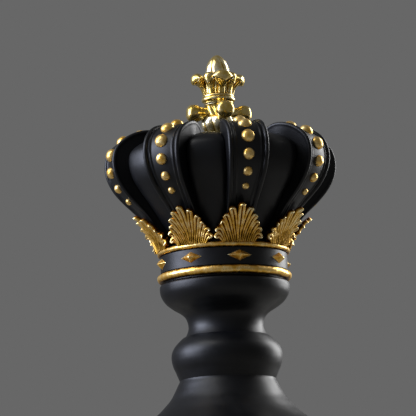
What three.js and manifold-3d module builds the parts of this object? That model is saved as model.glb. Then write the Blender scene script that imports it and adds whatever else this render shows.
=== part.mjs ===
// Giant chess king with a crown, built as a stack of hollow castings on a steel tie rod.
// Millimetres, +Z up. The origin is the centre of the felt pad's underside.
// Arch 1 of the crown points along -Y, and the arms of the finial's cross along X and Y.

import * as THREE from "three";
import { mergeVertices } from "three/addons/utils/BufferGeometryUtils.js";
import Module from "manifold-3d";

const wasm = await Module();
wasm.setup();

// ---- driving dimensions ---------------------------------------------------

const seatGap = 0.3; // glue line or clearance between two pieces that meet
const boreRadius = 3.5; // hole for the tie rod in every casting
const rodRadius = 3;
const spigotRadius = 9; // locating spigot between stacked castings
const socketRadius = spigotRadius + seatGap;
const roundSides = 24; // facets of the large turned pieces
const smallSides = 8; // facets of fasteners

const feltTop = 1.5;
const plinthRadius = 54;
const plinthShoulder = 16.3;
const cushionBottom = 20.7;
const cushionTop = 57.4;
const stemTop = 142.4;
const collarTop = 176.8;
const knopTop = 193.75;
const capitalTop = 214.2;
const circletTop = 228.4;
const bandRadius = 24.6;
const ringSeatRadius = 23.4;
const webThickness = 7;

const archCount = 8; // arches, leaves, lobes and diamonds all repeat eight times
const archTurn = (2 * Math.PI) / archCount;
const beadHeight = 0.9;
const beadWidth = 1.9;
const runnerWidth = 1.6;
const runnerDepth = 0.7; // depth of the groove that the runner of a stud row lies in
const runnerRise = 0.5; // how far the runner stands out of the face, under the studs

const crossHeight = 281.2;
const crossReach = 13;
const hubBottom = crossHeight - 2.2;
const hubTop = crossHeight + 3.6;
const finialStudRadius = 1.2; // the stud on the finial's stem, which holds cross, cup and bud
const finialStudTop = 299;
const finialBoreRadius = finialStudRadius + seatGap;
const budBottom = 294.6;
const tipHeight = 304.8;

// ---- materials ------------------------------------------------------------

const resin = { color: 0x0d0d0f, roughness: 0.45, metalness: 0 };
const gilt = { color: 0xc8962e, roughness: 0.28, metalness: 0.9 };
const zinc = { color: 0xb9bcc0, roughness: 0.4, metalness: 1 };
const iron = { color: 0x3a3b3d, roughness: 0.7, metalness: 0.7 };
const painted = { color: 0x1b1b1d, roughness: 0.5, metalness: 0.3 };
const felt = { color: 0x1d2a22, roughness: 0.95, metalness: 0 };

// ---- making solids --------------------------------------------------------

const king = new THREE.Group();

// Adds one piece to the model and gives it a material of its own.
function addPiece(name, geometry, finish, turn = 0) {
  const mesh = new THREE.Mesh(geometry, new THREE.MeshStandardMaterial(finish));
  mesh.name = name;
  mesh.rotation.z = turn;
  king.add(mesh);
  return mesh;
}

// A turned solid from [radius, height] points. Points off the axis form a closed loop.
function turned(points, sides = roundSides) {
  const outline = points.map(([radius, height]) => new THREE.Vector2(radius, height));
  const onAxis = points[0][0] === 0 && points.at(-1)[0] === 0;
  if (!onAxis) outline.push(outline[0].clone());
  const geometry = new THREE.LatheGeometry(outline, sides);
  geometry.rotateX(Math.PI / 2);
  return geometry;
}

// Points of an arc from one angle to another, in degrees, as [radius, height].
function arc(centre, radius, from, to, steps) {
  const points = [];
  for (let i = 0; i <= steps; i++) {
    const angle = THREE.MathUtils.degToRad(from + ((to - from) * i) / steps);
    points.push([centre[0] + radius * Math.cos(angle), centre[1] + radius * Math.sin(angle)]);
  }
  return points;
}

// A closed solid from rings of points: the rings are joined in turn and both ends are filled.
// A loop of rings has no ends, so its last ring is joined to its first.
function lofted(rings, isLoop = false) {
  const size = rings[0].length;
  const positions = rings.flat().flatMap((point) => [point.x, point.y, point.z]);
  const faces = [];
  const joins = isLoop ? rings.length : rings.length - 1;
  for (let ring = 0; ring < joins; ring++) {
    const next = (ring + 1) % rings.length;
    for (let i = 0; i < size; i++) {
      const j = (i + 1) % size;
      const [a, b] = [ring * size + i, ring * size + j];
      const [c, d] = [next * size + j, next * size + i];
      faces.push(a, b, c, a, c, d);
    }
  }
  if (!isLoop) {
    faces.push(...endFace(rings[0], 0, true));
    faces.push(...endFace(rings.at(-1), (rings.length - 1) * size, false));
  }
  const geometry = new THREE.BufferGeometry();
  geometry.setAttribute("position", new THREE.Float32BufferAttribute(positions, 3));
  geometry.setIndex(faces);
  return geometry;
}

// Triangles that fill a flat ring of points. The ring is laid flat on its own plane first.
function endFace(ring, offset, isFlipped) {
  const across = ring[1].clone().sub(ring[0]).normalize();
  const normal = new THREE.Vector3();
  for (let i = 1; i < ring.length - 1; i++) {
    const side = ring[i].clone().sub(ring[0]);
    normal.add(side.cross(ring[i + 1].clone().sub(ring[0])));
  }
  const up = normal.normalize().clone().cross(across);
  const flat = ring.map((point) => new THREE.Vector2(point.dot(across), point.dot(up)));
  const triangles = THREE.ShapeUtils.triangulateShape(flat, []);
  return triangles.flatMap(([a, b, c]) => {
    const corners = isFlipped ? [a, c, b] : [a, b, c];
    return corners.map((corner) => corner + offset);
  });
}

function toSolid(geometry) {
  const bare = geometry.clone();
  bare.deleteAttribute("normal");
  bare.deleteAttribute("uv");
  const merged = mergeVertices(bare, 1e-4);
  const index = Array.from(merged.index.array);
  const triVerts = [];
  for (let i = 0; i < index.length; i += 3) {
    const [a, b, c] = index.slice(i, i + 3);
    if (a !== b && b !== c && a !== c) triVerts.push(a, b, c);
  }
  return new wasm.Manifold(new wasm.Mesh({
    numProp: 3,
    vertProperties: Float32Array.from(merged.attributes.position.array),
    triVerts: Uint32Array.from(triVerts),
  }));
}

function fromSolid(solid) {
  const { vertProperties, triVerts } = solid.getMesh();
  const geometry = new THREE.BufferGeometry();
  geometry.setAttribute("position", new THREE.BufferAttribute(vertProperties, 3));
  geometry.setIndex(new THREE.BufferAttribute(triVerts, 1));
  return geometry;
}

function joined(geometries) {
  return fromSolid(geometries.map(toSolid).reduce((whole, solid) => whole.add(solid)));
}

function cut(geometry, tools) {
  return fromSolid(tools.map(toSolid).reduce((rest, tool) => rest.subtract(tool), toSolid(geometry)));
}

// A point at a radius and height, moved sideways from the plane that faces -Y.
function frontPoint(radius, height, sideways = 0) {
  return new THREE.Vector3(sideways, -radius, height);
}

// A point on the same radius, wrapped round the axis by a distance along the arc.
function wrappedPoint(radius, height, along) {
  const angle = along / radius;
  return new THREE.Vector3(radius * Math.sin(angle), -radius * Math.cos(angle), height);
}

const mix = THREE.MathUtils.lerp;
const smooth = THREE.MathUtils.smoothstep;

// ---- base and fasteners ---------------------------------------------------

const plateBottom = feltTop + seatGap;
const plateTop = plateBottom + 3;
const plateRadius = 49.5;
const screwCircle = 45.4;
const screwCount = 4;
const ballastTop = 18;

function screwTool(radius, bottom, top) {
  const shank = new THREE.CylinderGeometry(radius, radius, top - bottom, smallSides);
  return shank.rotateX(Math.PI / 2).translate(screwCircle, 0, (top + bottom) / 2);
}

function onScrewCircle(makeTool) {
  const quarter = (2 * Math.PI) / screwCount;
  return Array.from({ length: screwCount }, (_, i) => makeTool().rotateZ(quarter * (i + 0.5)));
}

function countersink(clearance) {
  const [wide, narrow] = [4 + clearance, 2 + clearance];
  const cone = new THREE.CylinderGeometry(narrow, wide, 2, smallSides);
  return cone.rotateX(Math.PI / 2).translate(screwCircle, 0, plateBottom + 1);
}

function makeBasePlate() {
  const disc = turned([[0, plateBottom], [plateRadius, plateBottom], [plateRadius, plateTop], [0, plateTop]]);
  const holes = onScrewCircle(() => screwTool(2 + seatGap, plateBottom - 1, plateTop + 1));
  return cut(disc, [...holes, ...onScrewCircle(() => countersink(seatGap))]);
}

function makeBaseScrew() {
  return joined([countersink(0), screwTool(2, plateBottom + 1, 15)]);
}

function makePlinth() {
  const seat = plateTop + seatGap;
  const outer = [[plateRadius + seatGap, seat], [plateRadius + seatGap, plateBottom], [53, plateBottom],
    [plinthRadius, 3.4], ...arc([50.2, 11.9], 3.8, 0, 70, 2), [50.4, plinthShoulder],
    [48.4, plinthShoulder], [48.4, cushionBottom - seatGap]];
  const inner = [[41, cushionBottom - seatGap], [41, seat]];
  const holes = onScrewCircle(() => screwTool(2 + seatGap, plateTop - 1, 15.5));
  return cut(turned([...outer, ...inner]), holes);
}

// A half-round trim ring: flat on the inside, a bead on the outside.
function trimRing(innerRadius, outerRadius, bottom, top) {
  const half = (top - bottom) / 2;
  const bead = arc([outerRadius - half, bottom + half], half, -90, 90, 4);
  return turned([[innerRadius, bottom], ...bead, [innerRadius, top]]);
}

function makeCushion() {
  const outer = [[38, cushionBottom], [49, cushionBottom], ...arc([39.5, 27], 10.9, -30, 75, 5),
    ...arc([50.6, 50], 15.4, 228, 180, 3), [35.2, 52.4], [32.3, 52.4], [32.3, cushionTop]];
  const web = cushionTop - webThickness;
  const inner = [[boreRadius, cushionTop], [boreRadius, web], [26, web], [30, 42], [34, 31]];
  return turned([...outer, ...inner]);
}

function makeStem() {
  const foot = cushionTop + seatGap;
  const outer = [[24, foot], [33.2, foot], [33.4, 59.2], [28.8, 65], [25.4, 72.5], [22.4, 83],
    [20, 98], [18.4, 115], [18.2, 130], [20.2, stemTop]];
  const socket = stemTop - 4 - seatGap;
  const inner = [[socketRadius, stemTop], [socketRadius, socket], [boreRadius, socket],
    [boreRadius, socket - 4], [12.5, 130], [13, 105]];
  return turned([...outer, ...inner]);
}

const rodBottom = 34;
const rodTop = 269.5;

function makeTieRod() {
  const rod = new THREE.CylinderGeometry(rodRadius, rodRadius, rodTop - rodBottom, smallSides);
  return rod.rotateX(Math.PI / 2).translate(0, 0, (rodTop + rodBottom) / 2);
}

function makeWasher(bottom) {
  return turned([[rodRadius + seatGap, bottom], [9, bottom], [9, bottom + 1.6],
    [rodRadius + seatGap, bottom + 1.6]], 12);
}

function makeNut(bottom) {
  const across = 5.8;
  const outline = new THREE.Shape();
  for (let corner = 0; corner < 6; corner++) {
    const angle = (corner * Math.PI) / 3;
    const [x, y] = [across * Math.cos(angle), across * Math.sin(angle)];
    if (corner === 0) outline.moveTo(x, y);
    else outline.lineTo(x, y);
  }
  outline.closePath();
  outline.holes.push(new THREE.Path().absarc(0, 0, rodRadius + seatGap, 0, 2 * Math.PI, true));
  const nut = new THREE.ExtrudeGeometry(outline, { depth: 5, bevelEnabled: false, curveSegments: 6 });
  return nut.translate(0, 0, bottom);
}

function addBase() {
  addPiece("felt_pad", turned([[0, 0], [52, 0], [52, feltTop], [0, feltTop]]), felt);
  addPiece("base_plate", makeBasePlate(), painted);
  const quarter = (2 * Math.PI) / screwCount;
  for (let i = 0; i < screwCount; i++) {
    addPiece(`base_screw_${i + 1}`, makeBaseScrew(), zinc, quarter * (i + 0.5));
  }
  const ballastBottom = plateTop + seatGap;
  addPiece("ballast_disc", turned([[12, ballastBottom], [40, ballastBottom], [40, ballastTop - 1],
    [39, ballastTop], [12, ballastTop]]), iron);
  addPiece("base_plinth", makePlinth(), resin);
  addPiece("lower_base_ring", trimRing(48.7, 51.4, plinthShoulder + seatGap, 20.4), gilt);
  addPiece("base_cushion", makeCushion(), resin);
  addPiece("upper_base_ring", trimRing(32.6, 35.6, 52.7, 57.3), gilt);
}

function addTieRod() {
  const lowerWeb = cushionTop - webThickness - seatGap;
  const upperWeb = capitalTop + 5.1;
  addPiece("tie_rod", makeTieRod(), zinc);
  addPiece("lower_washer", makeWasher(lowerWeb - 1.6), zinc);
  addPiece("lower_nut", makeNut(lowerWeb - 6.9), zinc);
  addPiece("upper_washer", makeWasher(upperWeb), zinc);
  addPiece("upper_nut", makeNut(upperWeb + 1.9), zinc);
}

// ---- body above the stem --------------------------------------------------

// The part of a casting's loop that makes its lower spigot, from the bore outwards.
function spigot(shoulder) {
  return [[boreRadius, shoulder - 4], [spigotRadius, shoulder - 4], [spigotRadius, shoulder]];
}

// The part of the loop that makes its upper socket, from the top face down the bore.
function socket(top) {
  const floor = top - 4 - seatGap;
  return [[socketRadius, top], [socketRadius, floor], [boreRadius, floor]];
}

function makeCollar() {
  const shoulder = stemTop + seatGap;
  const bead = arc([24.6, shoulder + 2.1], 2.1, -70, 70, 2);
  const rim = arc([35, 156.1], 2.2, -75, 60, 3);
  const flare = [[31.4, 160.6], [27, 164.4], [23, 168.7], [20.4, 172.7]];
  const hollow = [[boreRadius, 168.4], [17, 160], [14, 149], [boreRadius, 147.4]];
  return turned([...spigot(shoulder), [24, shoulder], ...bead, [30, 151.4], ...rim,
    ...flare, [18.5, collarTop], ...socket(collarTop), ...hollow]);
}

function makeKnop() {
  const shoulder = collarTop + seatGap;
  const outer = [[18.7, shoulder], [20.6, 181.8], [21.5, 185.2], [21.3, 187.6], [19.5, 190.9], [15.9, knopTop]];
  const hollow = [[boreRadius, 186.6], [13, 183], [boreRadius, 179.8]];
  return turned([...spigot(shoulder), ...outer, ...socket(knopTop), ...hollow]);
}

function makeCapital() {
  const shoulder = knopTop + seatGap;
  const outer = [[15.7, shoulder], [14.5, 197.4], [15, 200.4], [17.2, 203.2], [20.6, 205.3], [23.8, 208.2],
    [25.1, 211.8], [24.4, capitalTop]];
  const hollow = [[14, capitalTop], [14, 207], [boreRadius, 204]];
  return turned([...spigot(shoulder), ...outer, ...hollow]);
}

function makeCirclet() {
  const bottom = capitalTop + seatGap;
  const outer = [[boreRadius, bottom], [ringSeatRadius, bottom], [ringSeatRadius, 218.3],
    [bandRadius, 218.3], [bandRadius, 224.9], [ringSeatRadius, 224.9], [ringSeatRadius, circletTop]];
  const floor = bottom + 4.5;
  const hollow = [[19.8, circletTop], [19.8, floor], [boreRadius, floor]];
  return turned([...outer, ...hollow]);
}

// A four-sided pyramid that lies on the band, long corners level with the floor.
function makeDiamond() {
  const [halfWidth, halfHeight, middle] = [4.6, 2.4, 221.8];
  const [back, front] = [bandRadius + seatGap, bandRadius + 2];
  const edge = 0.4;
  const ring = (radius, scale) => [
    frontPoint(radius, middle, halfWidth * scale), frontPoint(radius, middle + halfHeight * scale),
    frontPoint(radius, middle, -halfWidth * scale), frontPoint(radius, middle - halfHeight * scale)];
  return lofted([ring(back, 1), ring(back + edge, 1), ring(front, 0.06)]);
}

function addBody() {
  addPiece("stem", makeStem(), resin);
  addPiece("collar", makeCollar(), resin);
  addPiece("knop", makeKnop(), resin);
  addPiece("capital", makeCapital(), resin);
  addPiece("circlet", makeCirclet(), resin);
  addPiece("lower_circlet_ring", trimRing(ringSeatRadius + seatGap, 26, 214.95, 218.05), gilt);
  addPiece("upper_circlet_ring", trimRing(ringSeatRadius + seatGap, 25.7, 225.15, 227.25), gilt);
}

// ---- crown ----------------------------------------------------------------

// The middle of an arch's outer face, from its foot on the circlet over the crest to the centre.
const archFace = new THREE.CatmullRomCurve3([
  [23.7, 229.2], [27.6, 235.6], [32.4, 241.6], [37, 246.5], [41, 251.6], [43.3, 257.1], [43.6, 261.9],
  [42.3, 265.8], [39.2, 269], [34.2, 271.4], [28.2, 272.1], [22.6, 270.1], [17.4, 266.7], [12, 263.9],
].map(([radius, height]) => frontPoint(radius, height)), false, "centripetal");
const archLength = archFace.getLength();
const archSteps = 11;

// Where a fraction along the face is, and which way the face looks there.
function faceStation(fraction) {
  const point = archFace.getPointAt(fraction);
  const along = archFace.getTangentAt(fraction);
  return { point, out: new THREE.Vector3(0, -along.z, along.y) };
}

function archWidth(fraction) {
  const grown = mix(10.2, 16, smooth(fraction, 0.02, 0.5));
  return mix(grown, 6.2, smooth(fraction, 0.68, 1));
}

// How deep an arch stands over the cap: shallow at the foot, deepest at its widest.
function archDepth(fraction) {
  return mix(mix(2.4, 8, smooth(fraction, 0.08, 0.5)), 4, smooth(fraction, 0.75, 1));
}

// How far the middle of a lobe lies behind the faces of the arches.
function lobeSink(fraction) {
  return mix(mix(1.2, 3.6, smooth(fraction, 0, 0.5)), 4.6, smooth(fraction, 0.7, 1));
}

// Points of a cross-section, given as [sideways, outwards] from the face's middle.
function sectionAt(fraction, outline) {
  const { point, out } = faceStation(fraction);
  return outline.map(([sideways, outwards]) => {
    return new THREE.Vector3(sideways, 0, 0).addScaledVector(out, outwards).add(point);
  });
}

function makeArch() {
  const groove = runnerWidth / 2 + seatGap;
  const rings = [];
  for (let step = 0; step <= archSteps; step++) {
    const fraction = step / archSteps;
    const [half, depth] = [archWidth(fraction) / 2, archDepth(fraction)];
    const bead = beadHeight * mix(0.2, 1, smooth(fraction, 0.16, 0.35));
    const inner = half - beadWidth;
    rings.push(sectionAt(fraction, [[-half, -depth], [-half, bead], [-inner, 0], [-groove, 0],
      [-groove, -runnerDepth], [groove, -runnerDepth], [groove, 0], [inner, 0], [half, bead],
      [half, -depth]]));
  }
  return lofted(rings);
}

// Six domed studs, larger towards the crest, cast on a thin runner that lies in the groove.
const studDiameters = [2.8, 3.7, 4.4, 5.2, 5.2, 5];
const firstStud = 21.6; // distance along the face
const studPitch = 6.4;
const pitchGrowth = 0.26;

function studFraction(number) {
  const distance = firstStud + studPitch * number + (pitchGrowth * number * (number - 1)) / 2;
  return distance / archLength;
}

function makeStud(number) {
  const radius = studDiameters[number] / 2;
  const rise = radius * 0.8;
  const { point, out } = faceStation(studFraction(number));
  const dome = turned([[0, seatGap], [radius, seatGap], [radius * 0.72, rise * 0.76], [0, rise]], smallSides);
  dome.applyQuaternion(new THREE.Quaternion().setFromUnitVectors(new THREE.Vector3(0, 0, 1), out));
  return dome.translate(point.x, point.y, point.z);
}

function makeStudRow() {
  const half = runnerWidth / 2;
  const [start, end] = [studFraction(0) - 0.012, studFraction(5) + 0.012];
  const rings = [];
  const steps = 7;
  for (let step = 0; step <= steps; step++) {
    rings.push(sectionAt(mix(start, end, step / steps), [[-half, -runnerDepth + seatGap], [-half, runnerRise],
      [half, runnerRise], [half, -runnerDepth + seatGap]]));
  }
  return joined([lofted(rings), ...studDiameters.map((_, number) => makeStud(number))]);
}

// The cap is a shell: eight puffed lobes outside, smooth inside, open below and at the rod.
// A column of the cap is given by its lobe and by where it lies across the lobe: -1 and 1 are
// the lobe's edges, beside the arches, and null is the valley under the middle of an arch.
const capCentre = 260.4;
const capInside = [[boreRadius, 257.2], [20, 258.6], [29, 260.6], [31.8, 256], [28.6, 246.5], [20, 236.5],
  [18.2, circletTop + seatGap]];
const capColumns = [null, -1, -0.76, 0, 0.76, 1];

function capColumn(lobe, across) {
  const vertical = new THREE.Vector3(0, 0, 1);
  const middle = (lobe + 0.5) * archTurn;
  const outside = [];
  for (let row = 0; row <= archSteps; row++) {
    const fraction = row / archSteps;
    const { point, out } = faceStation(fraction);
    const valley = archDepth(fraction) + seatGap;
    const puff = Math.sqrt(1 - Math.abs(across ?? 1) ** 3.6);
    const corner = point.addScaledVector(out, -mix(valley, Math.min(valley, lobeSink(fraction)), puff));
    const archSide = Math.asin((archWidth(fraction) / 2 + seatGap) / -corner.y);
    const spread = across === null ? -archTurn / 2 : across * (archTurn / 2 - archSide);
    corner.applyAxisAngle(vertical, middle + spread);
    if (row === 0) outside.push(corner.clone().setZ(circletTop + seatGap));
    outside.push(corner);
  }
  const turn = middle + (across === null ? -archTurn / 2 : (across * archTurn) / 3);
  const rest = [[9.5, capCentre], [boreRadius, capCentre], ...capInside];
  const inside = rest.map(([radius, height]) => frontPoint(radius, height).applyAxisAngle(vertical, turn));
  return [...outside, ...inside];
}

function makeCap() {
  const rings = [];
  for (let lobe = 0; lobe < archCount; lobe++) {
    for (const across of capColumns) rings.push(capColumn(lobe, across));
  }
  return lofted(rings.reverse(), true);
}

// An acanthus leaf: a curved plate, scalloped at its sides, that leans out and curls at its tip.
const leafSpine = new THREE.CatmullRomCurve3([
  [25.6, 227.6], [26.8, 231.4], [29.5, 235.6], [32, 239.2], [33.8, 241],
].map(([radius, height]) => frontPoint(radius, height)));

function makeLeaf() {
  const [rows, thickness] = [8, 1];
  const rings = [];
  for (let row = 0; row <= rows; row++) {
    const fraction = row / rows;
    const point = leafSpine.getPointAt(fraction);
    const along = leafSpine.getTangentAt(fraction);
    const scallop = row % 2 ? 0.5 : -0.4;
    const half = 9.2 * Math.sqrt(Math.max(0.01, 1 - fraction ** 2.6)) + scallop * (1 - fraction);
    const ring = [];
    for (const [across, depth] of [[-1, 0], [-0.5, 0], [0, 0], [0.5, 0], [1, 0], [1, 1], [0.5, 1], [0, 1],
      [-0.5, 1], [-1, 1]]) {
      const offset = depth ? -thickness / 2 : thickness / 2;
      ring.push(wrappedPoint(-point.y - along.z * -offset, point.z + along.y * offset, across * half));
    }
    rings.push(ring);
  }
  return lofted(rings);
}

function addCrown() {
  addPiece("crown_cap", makeCap(), resin);
  for (let i = 0; i < archCount; i++) {
    const turn = i * archTurn;
    addPiece(`arch_${i + 1}`, makeArch(), resin, turn);
    addPiece(`stud_row_${i + 1}`, makeStudRow(), gilt, turn);
    addPiece(`leaf_${i + 1}`, makeLeaf(), gilt, turn);
    addPiece(`diamond_${i + 1}`, makeDiamond(), gilt, turn);
  }
}

// ---- finial ---------------------------------------------------------------

// The stem stands on the cap over the end of the tie rod and swells to a ball under the cross.
function makeFinialStem() {
  const [bottom, top] = [capCentre + seatGap, hubBottom - seatGap];
  const socket = [[0, rodTop + 0.8], [rodRadius + seatGap, rodTop + 0.5], [rodRadius + seatGap, bottom]];
  const outside = [[7, bottom], [7, bottom + 1.6], [5.2, 264.6], [4.5, 268], [4.7, 271], [5.9, 273.8],
    [6.9, 275.8], [7.1, 277.4], [6.6, top]];
  const stud = [[finialStudRadius, top], [finialStudRadius, finialStudTop], [0, finialStudTop]];
  return turned([...socket, ...outside, ...stud], 12);
}

function makeCrossArm(quarter) {
  const arm = turned([[0, 0], [2, 0], [2.1, 6.4], [2.9, 8], [3.5, 9.6], [3.4, 10.8], [2.7, 12], [1.5, 12.8],
    [0, crossReach]], smallSides);
  return arm.rotateX(Math.PI / 2).rotateZ((quarter * Math.PI) / 2).translate(0, 0, crossHeight);
}

function makeCross() {
  const hub = turned([[0, hubBottom], [6.2, hubBottom], [5.4, crossHeight], [5.3, crossHeight + 2.2],
    [5.6, hubTop], [0, hubTop]], 12);
  const bore = turned([[0, hubBottom - 1], [finialBoreRadius, hubBottom - 1], [finialBoreRadius, hubTop + 1],
    [0, hubTop + 1]], smallSides);
  return cut(joined([hub, ...[0, 1, 2, 3].map(makeCrossArm)]), [bore]);
}

// One petal of the cup: a strip that rises, leans out and curls down at its tip.
function makePetal(number) {
  const lean = number % 2 ? 0.45 : 1;
  const path = new THREE.CatmullRomCurve3([
    [5, 290.6], [5.7, 293.2], [7.1, 296.2], [8.6, 297.3], [9.8, 296.3], [9.9, 294.4],
  ].map(([radius, height]) => frontPoint(mix(5, radius, lean), height)));
  const rings = [];
  const steps = 5;
  for (let step = 0; step <= steps; step++) {
    const fraction = step / steps;
    const point = path.getPointAt(fraction);
    const along = path.getTangentAt(fraction);
    const out = new THREE.Vector3(0, -along.z, along.y);
    const half = mix(1.4, mix(1.4, 3.2, lean), smooth(fraction, 0, 0.6)) * mix(1, 0.6, smooth(fraction, 0.7, 1));
    rings.push([[-half, -0.8], [-half, 0.8], [half, 0.8], [half, -0.8]].map(([sideways, outwards]) => {
      return new THREE.Vector3(sideways, 0, 0).addScaledVector(out, outwards).add(point);
    }));
  }
  return lofted(rings).rotateZ(number * archTurn);
}

function makeCup() {
  const bottom = hubTop + seatGap;
  const bowl = turned([[finialBoreRadius, bottom], [5.6, bottom], [6.4, 285.9], [6.4, 287.3], [5.6, 288.3],
    [5.5, 290.6], [6.2, 293.8], [5.2, 294.2], [finialBoreRadius, 292]], 12);
  return joined([bowl, ...Array.from({ length: archCount }, (_, i) => makePetal(i))]);
}

function makeBud() {
  const socket = [[0, finialStudTop + 0.6], [finialBoreRadius, finialStudTop + 0.4], [finialBoreRadius, budBottom]];
  return turned([...socket, [3, budBottom], [4.2, 295.6], [4.8, 297.4], [4.6, 299.2], [3.8, 301.4],
    [2.4, 303.4], [0.9, tipHeight - 0.3], [0, tipHeight]], 12);
}

function addFinial() {
  addPiece("finial_stem", makeFinialStem(), gilt);
  addPiece("finial_cross", makeCross(), gilt);
  addPiece("finial_cup", makeCup(), gilt);
  addPiece("finial_bud", makeBud(), gilt);
}

addBase();
addTieRod();
addBody();
addCrown();
addFinial();

export default king;
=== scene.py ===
import math

import bmesh
import bpy
import numpy as np
from mathutils import Matrix, Vector, noise


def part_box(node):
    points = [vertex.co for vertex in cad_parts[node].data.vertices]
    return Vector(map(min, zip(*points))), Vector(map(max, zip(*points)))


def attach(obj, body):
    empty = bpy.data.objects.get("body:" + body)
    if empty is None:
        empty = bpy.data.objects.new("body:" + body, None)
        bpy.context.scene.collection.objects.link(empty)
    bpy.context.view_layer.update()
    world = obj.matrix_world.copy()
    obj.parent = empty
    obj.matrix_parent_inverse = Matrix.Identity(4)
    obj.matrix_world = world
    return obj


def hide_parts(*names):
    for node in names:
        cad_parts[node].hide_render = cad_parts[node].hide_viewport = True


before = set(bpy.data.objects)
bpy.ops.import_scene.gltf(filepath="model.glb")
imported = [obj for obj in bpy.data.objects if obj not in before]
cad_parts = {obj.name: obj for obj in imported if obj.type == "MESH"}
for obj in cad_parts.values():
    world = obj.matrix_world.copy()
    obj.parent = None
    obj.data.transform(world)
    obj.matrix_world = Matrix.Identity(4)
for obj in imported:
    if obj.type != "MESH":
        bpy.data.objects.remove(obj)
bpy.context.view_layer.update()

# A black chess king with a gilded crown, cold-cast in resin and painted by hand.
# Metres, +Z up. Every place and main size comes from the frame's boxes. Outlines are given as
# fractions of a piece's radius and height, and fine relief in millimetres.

noise.seed_set(1)  # without a seed, noise vectors differ from run to run

MM = 0.001
TURN = 2 * math.pi
ARCHES = 8
ARCH_TURN = TURN / ARCHES
ROUND_SIDES = 160


# ---- reading the frame ----------------------------------------------------

def low(node):
    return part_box(node)[0]


def high(node):
    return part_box(node)[1]


def radius_of(node):
    return high(node).x


# ---- curves ---------------------------------------------------------------

def smooth_curve(points, count):
    """Evenly spaced points on a smooth curve through the given ones."""
    points = np.asarray(points, float)
    if len(points) == 2:
        steps = np.linspace(0, 1, count)[:, None]
        return points[0] + (points[1] - points[0]) * steps
    knots = np.concatenate([[0], np.cumsum(np.linalg.norm(np.diff(points, axis=0), axis=1) ** 0.5)])
    slopes = np.gradient(points, knots, axis=0)
    fine = np.linspace(0, knots[-1], count * 8)
    piece = np.clip(np.searchsorted(knots, fine, side="right") - 1, 0, len(points) - 2)
    span = (knots[piece + 1] - knots[piece])[:, None]
    t = (fine - knots[piece])[:, None] / span
    curve = ((1 + 2 * t) * (1 - t) ** 2 * points[piece]
             + t * (1 - t) ** 2 * span * slopes[piece]
             + t ** 2 * (3 - 2 * t) * points[piece + 1]
             + t ** 2 * (t - 1) * span * slopes[piece + 1])
    along = np.concatenate([[0], np.cumsum(np.linalg.norm(np.diff(curve, axis=0), axis=1))])
    even = np.linspace(0, along[-1], count)
    return np.stack([np.interp(even, along, curve[:, axis]) for axis in range(points.shape[1])], axis=1)


def ease(value, start, end):
    t = np.clip((value - start) / (end - start), 0, 1)
    return t * t * (3 - 2 * t)


def mix(a, b, t):
    return a + (b - a) * t


def bump(value, middle, width):
    """A smooth bump of height 1 round middle."""
    return np.exp(-((value - middle) / width) ** 2)


# ---- meshes ---------------------------------------------------------------

def mesh_object(name, points, faces, crisp=40, weld=True):
    mesh = bpy.data.meshes.new(name)
    mesh.from_pydata([tuple(point) for point in points], [], faces)
    shape = bmesh.new()
    shape.from_mesh(mesh)
    if weld:
        bmesh.ops.remove_doubles(shape, verts=shape.verts, dist=1e-7)
    bmesh.ops.recalc_face_normals(shape, faces=shape.faces)
    shape.to_mesh(mesh)
    shape.free()
    mesh.polygons.foreach_set("use_smooth", [True] * len(mesh.polygons))
    mesh.set_sharp_from_angle(angle=math.radians(crisp))
    made = bpy.data.objects.new(name, mesh)
    bpy.context.scene.collection.objects.link(made)
    return made


def grid_faces(rows, columns, wraps_rows=False, wraps_columns=False, offset=0):
    faces = []
    for row in range(rows if wraps_rows else rows - 1):
        for column in range(columns if wraps_columns else columns - 1):
            after, beside = (row + 1) % rows, (column + 1) % columns
            faces.append((offset + row * columns + column, offset + row * columns + beside,
                          offset + after * columns + beside, offset + after * columns + column))
    return faces


def turned(outline, sides=ROUND_SIDES):
    """Points and faces of a closed outline of (radius, height) turned round the Z axis."""
    outline = np.asarray(outline, float)
    angles = np.arange(sides) * TURN / sides
    points = np.stack([np.outer(np.sin(angles), outline[:, 0]),
                       np.outer(-np.cos(angles), outline[:, 0]),
                       np.tile(outline[:, 1], (sides, 1))], axis=2)
    return points.reshape(-1, 3), grid_faces(sides, len(outline), True, True)


def swept(rings):
    """Points and faces of closed rings joined in turn, with both ends filled."""
    rings = np.asarray(rings, float)
    count, size = rings.shape[:2]
    faces = grid_faces(count, size, False, True)
    faces.append(tuple(range(size)))
    faces.append(tuple(range((count - 1) * size, count * size)))
    return rings.reshape(-1, 3), faces


def plate(front, back):
    """Points and faces of a closed plate between two grids of the same size."""
    rows, columns = front.shape[:2]
    points = np.concatenate([front.reshape(-1, 3), back.reshape(-1, 3)])
    far = rows * columns
    faces = grid_faces(rows, columns) + grid_faces(rows, columns, offset=far)
    edge = [row * columns for row in range(rows)]
    edge += [(rows - 1) * columns + column for column in range(1, columns)]
    edge += [row * columns + columns - 1 for row in range(rows - 2, -1, -1)]
    edge += [column for column in range(columns - 2, 0, -1)]
    for here, there in zip(edge, edge[1:] + edge[:1]):
        faces.append((here, there, there + far, here + far))
    return points, faces


def joined(shapes):
    """Several (points, faces) shapes as one."""
    points, faces, offset = [], [], 0
    for shape_points, shape_faces in shapes:
        points.append(np.asarray(shape_points, float))
        faces += [tuple(offset + index for index in face) for face in shape_faces]
        offset += len(shape_points)
    return np.concatenate(points), faces


def moved(shape, matrix):
    points, faces = shape
    rows = np.array(matrix)
    return points @ rows[:3, :3].T + rows[:3, 3], faces


def turned_about_axis(shape, angle):
    return moved(shape, Matrix.Rotation(angle, 4, "Z"))


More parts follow.
